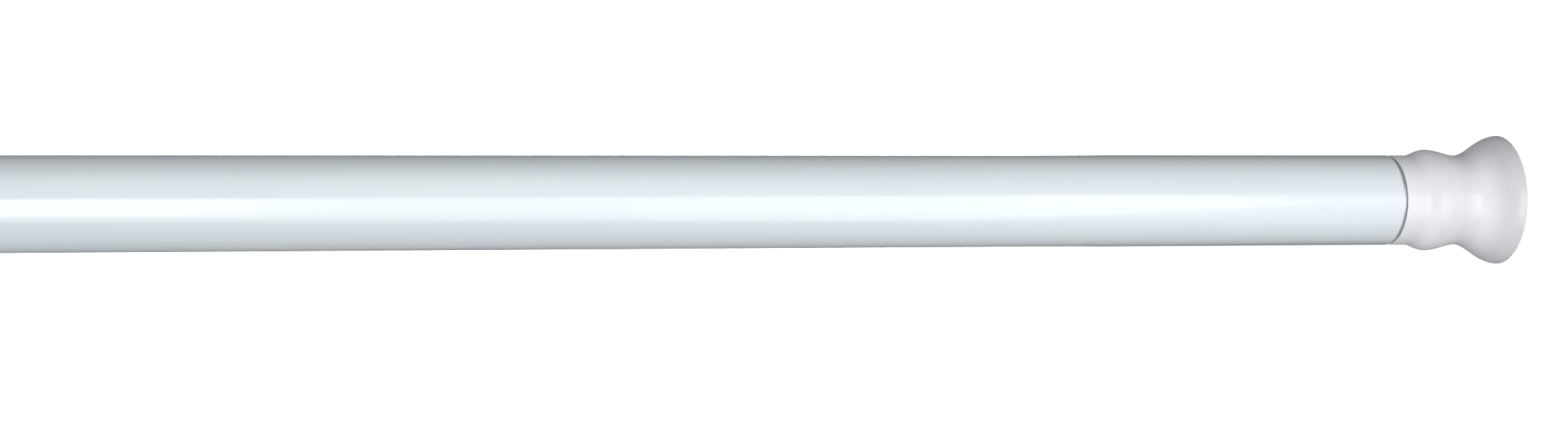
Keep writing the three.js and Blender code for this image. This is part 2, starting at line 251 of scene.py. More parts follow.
# Copies a shape round the X axis, evenly spaced.
def makeSpokeTree():
    tree, given = newShapeTree("spokes", [
        ("Count", "Int", 6),
        ("First Angle", "Float", 0.0),
        ("Finish", "Material", None),
    ])
    index = addNode(tree, "GeometryNodeInputIndex")
    step = calc(tree, "DIVIDE", 2 * math.pi, given["Count"])
    angle = calc(tree, "MULTIPLY_ADD", index, step, given["First Angle"])
    points = addNode(tree, "GeometryNodePoints", Count=given["Count"])
    turned = addNode(tree, "ShaderNodeCombineXYZ", X=angle)
    copies = addNode(tree, "GeometryNodeInstanceOnPoints", Points=points, Instance=given["Geometry"],
                     Rotation=turned)
    whole = addNode(tree, "GeometryNodeRealizeInstances", Geometry=copies)
    coated = addNode(tree, "GeometryNodeSetMaterial", Geometry=whole, Material=given["Finish"])
    addNode(tree, "NodeGroupOutput", Geometry=coated)
    return tree


spokeTree = makeSpokeTree()


def spokes(obj, count, finish, firstAngle=0.0):
    return shapeWith(obj, spokeTree, {"Count": count, "First Angle": firstAngle, "Finish": finish})


def combine(obj, operation, *others):
    for other in others:
        modifier = obj.modifiers.new("combine", "BOOLEAN")
        modifier.operation = operation
        modifier.solver = "EXACT"
        modifier.object = other
    keepResult(obj)
    for other in others:
        bpy.data.objects.remove(other)
    return shadeByAngle(obj)


def moved(obj, matrix):
    obj.data.transform(matrix)
    return obj


# A square bar along X with its edges rounded; millimetres from origin, which is in metres.
def block(name, origin, start, stop, wide, high, finish, edge=0.0):
    y, z = wide / 2 * mm, high / 2 * mm
    low, high = sorted((origin + start * mm, origin + stop * mm))
    vertices = [(x, side * y, level * z) for x in (low, high) for side, level in
                ((-1, -1), (1, -1), (1, 1), (-1, 1))]
    faces = [(0, 3, 2, 1), (4, 5, 6, 7)]
    faces += [(i, (i + 1) % 4, 4 + (i + 1) % 4, 4 + i) for i in range(4)]
    obj = newObject(name, vertices, faces=faces)
    obj.data.materials.append(finish)
    if edge:
        bevel = obj.modifiers.new("edge", "BEVEL")
        bevel.width = edge * mm
        bevel.segments = 3
        keepResult(obj)
    return shadeByAngle(obj)


def settle(obj, body, slotName, *nodes):
    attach(obj, body)
    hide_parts(*nodes)
    return obj


def emptyMaterial(name):
    material = bpy.data.materials.new(name)
    material.use_nodes = True
    material.node_tree.nodes.clear()
    return material, material.node_tree


# A plain material: its tree, its shader and the place on the piece in metres.
def newFinish(name, roughness, metallic=0.0, **sockets):
    material, tree = emptyMaterial(name)
    shader = tree.nodes.new("ShaderNodeBsdfPrincipled")
    shader.inputs["Roughness"].default_value = roughness
    shader.inputs["Metallic"].default_value = metallic
    for key, value in sockets.items():
        shader.inputs[key.replace("_", " ")].default_value = value
    output = tree.nodes.new("ShaderNodeOutputMaterial")
    tree.links.new(shader.outputs[0], output.inputs["Surface"])
    place = tree.nodes.new("ShaderNodeTexCoord").outputs["Object"]
    return material, tree, shader, place


# Noise whose grain is this size in millimetres, longer along X by the stretch.
def grain(tree, place, size, stretch=1.0, detail=2.0, distortion=0.0):
    scaled = addNode(tree, "ShaderNodeMapping", Vector=place)
    scaled.inputs["Scale"].default_value = (1 / stretch, 1, 1)
    noise = addNode(tree, "ShaderNodeTexNoise", Vector=scaled, Scale=1 / (size * mm), Detail=detail,
                    Distortion=distortion)
    return noise.outputs["Factor" if "Factor" in noise.outputs else "Fac"]


def between(tree, factor, low, high, fromLow=0.3, fromHigh=0.7):
    node = addNode(tree, "ShaderNodeMapRange", Value=factor)
    for socket, value in (("From Min", fromLow), ("From Max", fromHigh), ("To Min", low), ("To Max", high)):
        node.inputs[socket].default_value = value
    return node.outputs[0]


def blendColour(tree, factor, first, second):
    node = addNode(tree, "ShaderNodeMix", {"data_type": "RGBA"})
    connect(tree, node.inputs["Factor"], factor)
    colours = [socket for socket in node.inputs if socket.type == "RGBA"]
    for socket, value in zip(colours, (first, second)):
        connect(tree, socket, value if isinstance(value, bpy.types.NodeSocket) else (*value, 1.0))
    return [socket for socket in node.outputs if socket.type == "RGBA"][0]


# Raises the surface by a height from 0 to 1 times this many millimetres.
def raised(tree, height, depth, under=None):
    node = addNode(tree, "ShaderNodeBump", Height=height, Distance=depth * mm, Strength=1.0)
    if under:
        connect(tree, node.inputs["Normal"], under)
    return node.outputs[0]


# How far along the rod a point is, and how far off its axis.
def offAxis(tree, place):
    parts = addNode(tree, "ShaderNodeSeparateXYZ", Vector=place)
    flat = addNode(tree, "ShaderNodeCombineXYZ", Y=parts.outputs["Y"], Z=parts.outputs["Z"])
    radius = addNode(tree, "ShaderNodeVectorMath", {"operation": "LENGTH"})
    tree.links.new(flat.outputs[0], radius.inputs[0])
    return parts.outputs["X"], radius.outputs["Value"]


# The tubes' coat. Sizes, spacings and heights are millimetres, in mould below too.
powder = {
    "light": (0.775, 0.831, 0.862),
    "dark": (0.750, 0.809, 0.842),
    "speck": (0.42, 0.44, 0.45),
    "roughness": (0.19, 0.26),
    "cloudSize": 14,
    "dustSpacing": 9,
    "speckReach": (0.012, 0.022),
    "speckShare": 0.5,
    "glossSize": 5,
    "peelSize": 1.6,
    "peelHeight": 0.006,
    "fineSize": 0.25,
    "fineHeight": 0.0008,
    "rubSize": 0.35,
    "rubHeight": 0.0015,
    "rubFrom": (0.56, 0.72),
    "rubDull": 0.12,
    "rubShare": 0.25,
    "rubColour": (0.62, 0.66, 0.68),
}


# Satin powder coat with orange peel, faint cloudiness drawn out along the tube and a few specks.
def powderCoat(name, scuffs):
    material, tree, shader, place = newFinish(name, max(powder["roughness"]), Coat_Weight=0.8,
                                              Coat_Roughness=0.12)
    cloud = grain(tree, place, powder["cloudSize"], stretch=5, detail=3)
    colour = blendColour(tree, between(tree, cloud, 0, 1), powder["dark"], powder["light"])
    dust = addNode(tree, "ShaderNodeTexVoronoi", Vector=place, Scale=1 / (powder["dustSpacing"] * mm))
    speck = between(tree, dust.outputs["Distance"], powder["speckShare"], 0, *powder["speckReach"])
    colour = blendColour(tree, speck, colour, powder["speck"])
    peel = grain(tree, place, powder["peelSize"], detail=1)
    fine = grain(tree, place, powder["fineSize"], detail=1)
    patches = grain(tree, place, powder["glossSize"], stretch=8, detail=4)
    gloss = between(tree, patches, *powder["roughness"])
    surface = raised(tree, peel, powder["peelHeight"])
    surface = raised(tree, fine, powder["fineHeight"], surface)
    if scuffs:
        # fine lines rubbed along the slim tube where the ring of the outer tube runs on it
        line = grain(tree, place, powder["rubSize"], stretch=160, detail=3)
        rubbed = between(tree, line, 0, 1, *powder["rubFrom"])
        gloss = calc(tree, "MULTIPLY_ADD", rubbed, powder["rubDull"], gloss)
        share = calc(tree, "MULTIPLY", rubbed, powder["rubShare"])
        colour = blendColour(tree, share, colour, powder["rubColour"])
        unrubbed = calc(tree, "SUBTRACT", 1.0, rubbed)
        surface = raised(tree, unrubbed, powder["rubHeight"], surface)
    connect(tree, shader.inputs["Base Color"], colour)
    connect(tree, shader.inputs["Roughness"], gloss)
    connect(tree, shader.inputs["Normal"], surface)
    return material


# Metal with marks left by turning, drawing or plating. The marks run round the axis.
def metalFinish(name, light, dark, roughness, markSize, markHeight, cloudSize=6, pitSize=0.3):
    material, tree, shader, place = newFinish(name, roughness, metallic=1.0)
    along, radius = offAxis(tree, place)
    laid = addNode(tree, "ShaderNodeCombineXYZ", X=along, Y=radius)
    cloud = grain(tree, place, cloudSize, detail=4)
    colour = blendColour(tree, between(tree, cloud, 0, 1), dark, light)
    marks = addNode(tree, "ShaderNodeTexNoise", Vector=laid, Scale=1 / (markSize * mm), Detail=2.0)
    mark = marks.outputs[0]
    pits = grain(tree, place, pitSize, detail=2)
    connect(tree, shader.inputs["Base Color"], colour)
    connect(tree, shader.inputs["Roughness"],
            between(tree, calc(tree, "MULTIPLY", calc(tree, "ADD", mark, cloud), 0.5),
                    roughness - 0.08, roughness + 0.1))
    surface = raised(tree, mark, markHeight)
    connect(tree, shader.inputs["Normal"], raised(tree, pits, markHeight / 2, surface))
    return material


# The painted shade on a cap's flare comes in between the two radii paintedShadeFrom and paintedShadeTo,
# millimetres.
mould = {
    "flowSize": 11, "dustSpacing": 11, "speckReach": (0.014, 0.03), "speckShare": 0.8,
    "sinkSize": 7, "sinkDepth": 0.012, "handledSize": 3.5, "paintedShadeFrom": 13.6, "paintedShadeTo": 16.2,
    "refraction": 1.49, "glowDepth": 1.2,
}


# Moulded plastic: faint flow clouds, the fine texture of the mould and a few trapped specks. Painted
# shade: away from the axis, on the flare, the colour is darkened by the share paintedFlareShade.
def mouldedFinish(name, light, dark, roughness, grainSize, grainHeight, speckColour=None, softness=0.0,
                  softDepth=(1, 0.9, 0.8), paintedFlareShade=0.0):
    material, tree, shader, place = newFinish(
        name, roughness, Subsurface_Weight=softness, Subsurface_Radius=softDepth,
        Subsurface_Scale=mould["glowDepth"] * mm)
    shader.inputs["IOR"].default_value = mould["refraction"]
    flow = grain(tree, place, mould["flowSize"], detail=3, distortion=0.6)
    colour = blendColour(tree, between(tree, flow, 0, 1), dark, light)
    if speckColour:
        dust = addNode(tree, "ShaderNodeTexVoronoi", Vector=place, Scale=1 / (mould["dustSpacing"] * mm))
        speck = between(tree, dust.outputs["Distance"], mould["speckShare"], 0, *mould["speckReach"])
        colour = blendColour(tree, speck, colour, speckColour)
    # painted shade: the colour grows darker out towards the flare, standing in for shade
    if paintedFlareShade:
        radius = offAxis(tree, place)[1]
        flareShadeMask = between(tree, radius, 0, 1, mould["paintedShadeFrom"] * mm, mould["paintedShadeTo"] * mm)
        colour = blendColour(tree, flareShadeMask, colour, [value * (1 - paintedFlareShade) for value in light])
    texture = grain(tree, place, grainSize, detail=3)
    sink = grain(tree, place, mould["sinkSize"], detail=1)
    handled = grain(tree, place, mould["handledSize"], detail=4)
    connect(tree, shader.inputs["Base Color"], colour)
    connect(tree, shader.inputs["Roughness"],
            between(tree, handled, roughness - 0.05, roughness + 0.04))
    surface = raised(tree, sink, mould["sinkDepth"])
    connect(tree, shader.inputs["Normal"], raised(tree, texture, grainHeight, surface))
    return material


powderWhite = powderCoat("powder_coat_white", scuffs=False)
powderWhiteRubbed = powderCoat("powder_coat_white_rubbed", scuffs=True)
bareSteel = metalFinish("bare_cut_steel", (0.74, 0.75, 0.77), (0.58, 0.59, 0.61), 0.38, 0.18, 0.001)
zincPlate = metalFinish("zinc_plate", (0.68, 0.70, 0.73), (0.50, 0.52, 0.56), 0.37, 0.25, 0.002, 2.5)
springWire = metalFinish("spring_wire_steel", (0.34, 0.35, 0.37), (0.20, 0.20, 0.21), 0.37, 0.4, 0.002, 3)
# The cap's flare gets painted shade, up to 19 per cent darker than its own colour.
capWhite = mouldedFinish("moulded_cap_white", (0.790, 0.794, 0.820), (0.774, 0.778, 0.804), 0.225,
                         0.8, 0.0015, speckColour=(0.5, 0.5, 0.52), paintedFlareShade=0.19)
collarWhite = mouldedFinish("moulded_collar_white", (0.80, 0.815, 0.83), (0.77, 0.785, 0.80), 0.4,
                            0.3, 0.004, softness=0.1)
naturalNylon = mouldedFinish("natural_nylon", (0.74, 0.70, 0.60), (0.68, 0.64, 0.54), 0.38, 0.5,
                             0.005, softness=0.3, softDepth=(1, 0.8, 0.5))
softVinyl = mouldedFinish("soft_vinyl", (0.62, 0.62, 0.63), (0.56, 0.56, 0.57), 0.62, 0.6, 0.012,
                          softness=0.25, softDepth=(1, 0.95, 0.9))
print("finishes made")


# Both tubes: coated outside, bare where they are cut, and bare inside. Millimetres.
tubeEnds = {"lipAlong": 0.7, "lipDeep": 0.28, "burr": 0.12}


# A tube from one place to another along X; its outer edge is chamfered at the end its cap closes.
def tubePiece(name, node, size, coat, cappedRight):
    start, stop = lowX(node) / mm, highX(node) / mm
    radius, bore = size["radius"], size["radius"] - size["wall"]
    lip = tubeEnds
    leftLip = [(start, radius - lip["lipDeep"], 0, 1), (start + lip["lipAlong"], radius, 0, 0)]
    rightLip = [(stop - lip["lipAlong"], radius, 0, 0), (stop, radius - lip["lipDeep"], 0, 1)]
    if cappedRight:
        edge = [(start, radius - lip["burr"], 0, 1), (start + lip["burr"], radius, 0, 0)] + rightLip
    else:
        edge = leftLip + [(stop - lip["burr"], radius, 0, 0), (stop, radius - lip["burr"], 0, 1)]
    inside = [(stop, bore + lip["burr"], 0, 1), (stop - lip["burr"], bore, 0, 1),
              (start + lip["burr"], bore, 0, 1), (start, bore + lip["burr"], 0, 1)]
    return turnPiece(name, edge + inside, coat, bareSteel, facets=192)


outerTube = tubePiece("outerTube", "outer_tube", tube, powderWhite, cappedRight=True)
settle(outerTube, "outer_rod", "tube_white", "outer_tube")

rivet = {"radius": 1.5, "hole": 1.6, "head": 2.2, "headHeight": 0.3, "domed": 0.4, "length": 4,
         "clear": 0.5}
bush = {"flange": 3, "length": 20, "lead": 0.6, "squareHole": 6.2, "rivetFromFlange": 10}
bushFace = highX("tail_bush")
rivetAt = bushFace - (bush["flange"] + bush["rivetFromFlange"]) * mm


# A bar along its own axis, stood up on Z so that it crosses the rod.
def uprightBar(name, at, corners, finish, facets=40):
    bar = turnPiece(name, corners, finish, facets=facets)
    return moved(bar, Matrix.Translation((at, 0, 0)) @ Matrix.Rotation(-math.pi / 2, 4, "Y"))


def rivetHoles(finish):
    deep = slimTube["radius"] - rivet["length"] - rivet["clear"]
    outline = barOutline(deep, tube["radius"], rivet["hole"])
    return spokes(uprightBar("rivetHole", rivetAt, outline, finish), 2, finish)


innerTube = tubePiece("innerTube", "inner_tube", slimTube, powderWhiteRubbed, cappedRight=False)
combine(innerTube, "DIFFERENCE", rivetHoles(bareSteel))
settle(innerTube, "inner_rod", "tube_white", "inner_tube")
print("tubes made")


# The cap, millimetres from the end of its tube: a collar flush with the tube, a rounded bead, a
# waist and a flared foot, and behind them the spigot and the pocket for the wall pad.
cap = {
    "spigot": 18, "spigotPlay": 0.15, "leadAlong": 1, "leadDeep": 0.6, "wall": 1.6,
    "seam": 0.42, "collarEdge": 0.12, "collarEnd": 5.9, "crest": 11.75, "crestRise": 1.6,
    "waist": 21.2, "flare": 28.7, "flareRadius": 15.5, "flareSlope": 0.62,
    "foot": 34.9, "footRadius": 18, "footRounding": 1.9, "face": 35.2,
    "web": 2, "stemHole": 3.2, "pocketStep": 0.3, "ledge": 32.3, "ledgeRadius": 13.4,
    "recess": 15, "facets": 160,
}
capRib = {"count": 6, "thickness": 1.4, "inner": 4.2, "rooted": 1}
crushRib = {"count": 6, "radius": 0.6, "proud": 0.11, "inset": 2, "stop": 1, "taper": 1}


# Adds a stretch of outline that leaves and arrives with these slopes.
def sweepTo(points, along, radius, slopeLeaving, slopeArriving, steps=14):
    startAlong, startRadius = points[-1][:2]
    third = (along - startAlong) / 3
    leaving = startRadius + slopeLeaving * third
    arriving = radius - slopeArriving * third
    for k in range(1, steps + 1):
        t = k / steps
        u = 1 - t
        height = u ** 3 * startRadius + 3 * u * u * t * leaving + 3 * u * t * t * arriving + t ** 3 * radius
        points.append((startAlong + t * 3 * third, height))


def capOutline(tubeRadius, spigotRadius, hollow):
    points = [
        (-cap["spigot"], spigotRadius - cap["leadDeep"], 0.3),
        (cap["leadAlong"] - cap["spigot"], spigotRadius, 0.4),
        (cap["seam"], spigotRadius),
        (cap["seam"], tubeRadius, cap["collarEdge"]),
        (cap["collarEnd"] / 2, tubeRadius),
        (cap["collarEnd"], tubeRadius),
    ]
    sweepTo(points, cap["crest"], tubeRadius + cap["crestRise"], 0, 0)
    sweepTo(points, cap["waist"], tubeRadius, 0, 0)
    sweepTo(points, cap["flare"], cap["flareRadius"], 0, cap["flareSlope"])
    sweepTo(points, cap["foot"], cap["footRadius"], cap["flareSlope"], 0)
    rim, steps = cap["footRounding"], 12
    for k in range(1, steps + 1):
        t = k / steps
        along = cap["foot"] + (cap["face"] - cap["foot"]) * (2 * t - t * t)
        points.append((along, cap["footRadius"] - rim * t * t))
    webBack = cap["waist"] - cap["web"] / 2
    webFront = cap["waist"] + cap["web"] / 2
    return points + [
        (cap["face"], cap["recess"], 0.25),
        (cap["ledge"], cap["recess"], 0.2),
        (cap["ledge"], cap["ledgeRadius"], 0.2),
        (webFront, hollow - cap["pocketStep"], 0.4),
        (webFront, cap["stemHole"], 0.2),
        (webBack, cap["stemHole"], 0.2),
        (webBack, hollow, 0.5),
        (-cap["spigot"], hollow, 0.3),
    ]


# A plate that stands in the XZ plane, its outline going round against the clock; millimetres.
def plate(name, outline, thickness, finish):
    half = thickness / 2 * mm
    count = len(outline)
    vertices = [(x * mm, side * half, z * mm) for side in (-1, 1) for x, z in outline]
    faces = [tuple(range(count)), tuple(range(2 * count - 1, count - 1, -1))]
    faces += [(i, i + count, (i + 1) % count + count, (i + 1) % count) for i in range(count)]
    obj = newObject(name, vertices, faces=faces)
    obj.data.materials.append(finish)
    return obj


def endCap(name, tubeRadius, tubeBore, origin, direction):
    spigotRadius = tubeBore - cap["spigotPlay"]
    hollow = spigotRadius - cap["wall"]
    shell = turnPiece(name, capOutline(tubeRadius, spigotRadius, hollow), capWhite,
                      facets=cap["facets"])
    rooted = capRib["rooted"]
    rib = plate("rib", [
        (cap["waist"], capRib["inner"]),
        (cap["ledge"], capRib["inner"]),
        (cap["ledge"], cap["ledgeRadius"] + rooted),
        (cap["waist"], hollow + rooted),
    ], capRib["thickness"], capWhite)
    gripAt = spigotRadius + crushRib["proud"] - crushRib["radius"]
    ridge = barOutline(crushRib["inset"] - cap["spigot"], -crushRib["stop"], crushRib["radius"],
                       taper=crushRib["taper"])
    grip = turnPiece("grip", ridge, capWhite, facets=12)
    moved(grip, Matrix.Translation((0, 0, gripAt * mm)))
    combine(shell, "UNION", spokes(rib, capRib["count"], capWhite),
            spokes(grip, crushRib["count"], capWhite, math.pi / crushRib["count"]))
    facing = Matrix.Rotation(0 if direction > 0 else math.pi, 4, "Z")
    return moved(shell, Matrix.Translation((origin, 0, 0)) @ facing)


endCapRight = endCap("endCapRight", tube["radius"], tubeBore, tubeRight, 1)
endCapLeft = endCap("endCapLeft", slimTube["radius"], slimBore, innerLeft, -1)
settle(endCapRight, "outer_rod", "cap_white", "end_cap_right")
settle(endCapLeft, "inner_rod", "cap_white", "end_cap_left")
print("end caps made")


# The soft disc in a cap's foot, with ring grooves and a barbed stem through the cap's web.
pad = {
    "radius": 14.8, "proud": 0.8, "stem": 3, "edge": 0.6, "back": 0.1,
    "barbRadius": 3.9, "barbTip": 2.3, "barbLand": 1, "barbLength": 3,
    "grooves": (12.2, 9.4, 6.6), "grooveWidth": 0.5, "grooveDepth": 0.5,
}


def wallPad(name, origin, direction):
    back = cap["ledge"] + pad["back"]
    face = cap["face"] + pad["proud"]
    barb = cap["waist"] - cap["web"] / 2 - pad["back"]
    corners = [
        (barb - pad["barbLength"], 0),
        (barb - pad["barbLength"], pad["barbTip"], 0.5),
        (barb - pad["barbLand"], pad["barbRadius"], 0.6),
        (barb, pad["barbRadius"], 0.2),
        (barb, pad["stem"], 0.3),
        (back, pad["stem"], 0.5),
        (back, pad["radius"], 0.4),
        (face, pad["radius"], pad["edge"]),
    ]
    for radius in pad["grooves"]:
        corners += [
            (face, radius + pad["grooveWidth"], 0.15),
            (face - pad["grooveDepth"], radius, 0.3),
            (face, radius - pad["grooveWidth"], 0.15),
        ]
    corners.append((face, 0))
    return turnPiece(name, corners, softVinyl, origin=origin, direction=direction, facets=144)


settle(wallPad("wallPadRight", tubeRight, 1), "outer_rod", "pad_soft", "wall_pad_right")
settle(wallPad("wallPadLeft", innerLeft, -1), "inner_rod", "pad_soft", "wall_pad_left")


# The ring over the outer tube's cut mouth, which guides the slim tube. It is fluted for the grip.
collar = {
    "front": 2.6, "radius": 13.7, "bore": 11.1, "skirt": 9, "sleeve": 8, "corner": 1.2, "lead": 0.5,
    "fluteCount": 40, "fluteRadius": 0.9, "fluteDeep": 0.28, "fluteFrom": -6.6, "fluteTo": -0.2,
    "fluteTaper": 1.2,
}


def mouthCollar():
    front, radius, bore = collar["front"], collar["radius"], collar["bore"]
    outside, inside = tube["radius"] + play["snug"], tubeBore - play["snug"]
    ring = turnPiece("mouthCollar", [
        (-collar["skirt"], outside, 0.15),
        (-collar["skirt"], radius - collar["lead"], 0.3),
        (collar["lead"] - collar["skirt"], radius, 0.4),
        (front, radius, collar["corner"]),
        (front, bore, 0.5),
        (-collar["sleeve"], bore, 0.2),
        (-collar["sleeve"], inside, 0.2),
        (play["touch"], inside),
        (play["touch"], outside),
    ], collarWhite, facets=160)
    groove = barOutline(collar["fluteFrom"], collar["fluteTo"], collar["fluteRadius"],
                        taper=collar["fluteTaper"])
    flute = turnPiece("flute", groove, collarWhite, facets=16)
    fluteAt = radius + collar["fluteRadius"] - collar["fluteDeep"]
    moved(flute, Matrix.Translation((0, 0, fluteAt * mm)))
    combine(ring, "DIFFERENCE", spokes(flute, collar["fluteCount"], collarWhite))
    return moved(ring, Matrix.Translation((tubeMouth, 0, 0)) @ Matrix.Rotation(math.pi, 4, "Z"))


settle(mouthCollar(), "outer_rod", "collar_white", "mouth_collar")
print("pads and collar made")


# A turned bar between two places along X, its edges rounded; millimetres from origin.
def turnedBar(name, origin, start, stop, radius, finish, edge=0.2, facets=96):
    outline = barOutline(start, stop, radius, edge)
    return turnPiece(name, outline, finish, origin=origin, facets=facets)


# The lock, millimetres from the end of its journal: a split ring on an off-centre journal, the
# flange behind it and the hub that the spring sits round.
lock = {
    "ringLength": 18, "ringPlay": 0.4, "offset": 0.4, "journal": 6.5, "ringBore": 6.85,
    "slit": 2.4, "grooves": 5, "grooveDepth": 0.4, "flange": 4, "hub": 6.4, "hubLength": 8,
}
lockAt = highX("lock_spindle")
journalBack = -lock["ringLength"] - lock["ringPlay"]
flangeBack = journalBack - lock["flange"]
hubBack = flangeBack - lock["hubLength"]
offCentre = Matrix.Translation((0, 0, lock["offset"] * mm))


def lockRing():
    front = -lock["ringPlay"] / 2
    back = front - lock["ringLength"]
    pitch = lock["ringLength"] / (lock["grooves"] + 1)
    core = lock["journal"] / 2
    deep = lock["grooveDepth"]
    corners = [(back, runningRadius, 0.3)]
    for i in range(1, lock["grooves"] + 1):
        at = back + i * pitch
        corners += [(at - deep, runningRadius, 0.15), (at, runningRadius - deep, 0.2),
                    (at + deep, runningRadius, 0.15)]
    corners += [(front, runningRadius, 0.3), (front, core), (back, core)]
    ring = turnPiece("lockRing", corners, naturalNylon, origin=lockAt, facets=128)
    bore = moved(turnedBar("bore", lockAt, back - past, past, lock["ringBore"], naturalNylon), offCentre)
    slit = block("slit", lockAt, back - past, past, lock["slit"], tubeBore, naturalNylon)
    moved(slit, Matrix.Translation((0, 0, -(tubeBore + core) / 2 * mm)))
    return combine(ring, "DIFFERENCE", bore, slit)


settle(lockRing(), "lock_grip", "nylon", "lock_ring")

rod = {
    "across": 6, "edge": 0.35, "inSocket": 15.9, "thread": 2.5, "threadLength": 8, "pitch": 0.8,
    "threadDepth": 0.42, "lead": 0.5, "runOut": 0.6, "overlap": 1,
}
screw = {
    "head": 4.2, "headHeight": 2.4, "shank": 1.9, "tip": 1.5, "length": 12, "pitch": 1.4,
    "threadDepth": 0.45, "point": 0.3, "plain": 1, "clear": 0.5, "slot": 1, "slotDepth": 1.4,
}
crossPin = {"radius": 1.15, "length": 12.4, "edge": 0.25, "fromHubEnd": 4}
noseWasher = {"radius": 11.2, "bore": 2.2, "thickness": 2}
pinAt = lockAt + (hubBack + crossPin["fromHubEnd"]) * mm


# The hole for the cross pin, reaching this far to both sides of the axis.
def pinHole(reach, finish):
    radius = crossPin["radius"] + play["snug"]
    return uprightBar("pinHole", pinAt, barOutline(-reach, reach, radius), finish)


def lockSpindle():
    journal = turnedBar("journal", lockAt, journalBack - 1, 0, lock["journal"], naturalNylon, 0.4)
    spindle = turnPiece("lockSpindle", [
        (hubBack, 0),
        (hubBack, lock["hub"], 0.6),
        (flangeBack, lock["hub"], 0.4),
        (flangeBack, runningRadius, 0.3),
        (journalBack, runningRadius, 0.3),
        (journalBack, 0),
    ], naturalNylon, origin=lockAt)
    combine(spindle, "UNION", moved(journal, offCentre))
    wide = rod["across"] + 2 * play["snug"]
    socketEnd = hubBack + rod["inSocket"] + play["touch"]
    socket = block("socket", lockAt, hubBack - past, socketEnd, wide, wide, naturalNylon)
    holeEnd = -screw["length"] - screw["clear"]
    hole = turnedBar("screwHole", lockAt, holeEnd, past, screw["shank"] + play["snug"], naturalNylon,
                     edge=0, facets=40)
    return combine(spindle, "DIFFERENCE", socket, hole, pinHole(lock["hub"] + past, naturalNylon))


# Outline points close enough together to carry a thread.
def threadRun(start, stop, radius, pitch, perTurn=8):
    steps = round((stop - start) / pitch * perTurn)
    return [(start + (stop - start) * i / steps, radius) for i in range(steps + 1)]


def retainingScrew():
    seat = noseWasher["thickness"] + 2 * play["touch"]
    top = seat + screw["headHeight"]
    low, high = screw["tip"] - screw["length"], seat - screw["plain"]
    dome = [(seat + screw["headHeight"] * math.sin(a), screw["head"] * math.cos(a) ** 0.5)
            for a in (math.radians(step) for step in range(30, 90, 6))]
    corners = [(-screw["length"], 0), (-screw["length"], screw["point"])]
    corners += threadRun(low, high, screw["shank"], screw["pitch"])
    corners += [(seat, screw["shank"], 0.15), (seat, screw["head"], 0.2)] + dome + [(top, 0)]
    piece = turnPiece("retainingScrew", corners, zincPlate, origin=lockAt, facets=48, thread={
        "Pitch": screw["pitch"] * mm, "Depth": screw["threadDepth"] * mm,
        "From": lockAt + low * mm, "To": lockAt + high * mm})
    slots = [block("slot", lockAt, top - screw["slotDepth"], top + past, wide, tall, zincPlate)
             for wide, tall in ((screw["slot"], screw["head"]), (screw["head"], screw["slot"]))]
    return combine(piece, "DIFFERENCE", *slots)


springSeat = {"radius": 10.4, "bore": 6.6, "thickness": 0.8}
stopWasher = {"radius": 8, "bore": 2.6, "thickness": 1.2}
stopNut = {"acrossFlats": 8, "thickness": 4.5, "chamfer": 0.45, "holeChamfer": 0.5}
bushBack = (bushFace - lockAt) / mm - bush["flange"] - bush["length"]


def drawRod():
    bar = block("drawRod", lockAt, bushBack, hubBack + rod["inSocket"], rod["across"], rod["across"],
                zincPlate, rod["edge"])
    tip = bushBack - rod["threadLength"]
    low, high = tip + rod["lead"], bushBack - rod["runOut"]
    run = threadRun(low, high, rod["thread"], rod["pitch"])
    root = bushBack + rod["overlap"]
    corners = [(tip, 0), (tip, rod["thread"] - rod["lead"])] + run
    corners += [(root, rod["thread"]), (root, 0)]
    end = turnPiece("threadedEnd", corners, zincPlate, origin=lockAt, facets=48, thread={
        "Pitch": rod["pitch"] * mm, "Depth": rod["threadDepth"] * mm,
        "From": lockAt + low * mm, "To": lockAt + high * mm})
    combine(bar, "UNION", end)
    return combine(bar, "DIFFERENCE", pinHole(rod["across"], zincPlate))


def hexagonNut():
    front = bushBack - stopWasher["thickness"] - 2 * play["touch"]
    back = front - stopNut["thickness"]
    radius = stopNut["acrossFlats"] / math.sqrt(3)
    cut, bore = stopNut["chamfer"], rod["thread"] + play["snug"]
    nut = turnedBar("stopNut", lockAt, back, front, radius, zincPlate, edge=0, facets=6)
    wide = radius + play["touch"]
    dome = turnPiece("dome", [(back, 0), (back, radius - 2 * cut), (back + cut, wide),
                              (front - cut, wide), (front, radius - 2 * cut), (front, 0)],
                     zincPlate, origin=lockAt)
    sink = stopNut["holeChamfer"]
    flare = bore + sink + past
    hole = turnPiece("hole", [(back - past, 0), (back - past, flare), (back + sink, bore),
                              (front - sink, bore), (front + past, flare), (front + past, 0)],
                     zincPlate, origin=lockAt, facets=48)
    combine(nut, "INTERSECT", dome)
    return combine(nut, "DIFFERENCE", hole)


def washer(name, origin, back, size, edge=0.15):
    front, radius, bore = back + size["thickness"], size["radius"], size["bore"]
    corners = [(back, radius, edge), (front, radius, edge), (front, bore, edge), (back, bore, edge)]
    return turnPiece(name, corners, zincPlate, origin=origin)


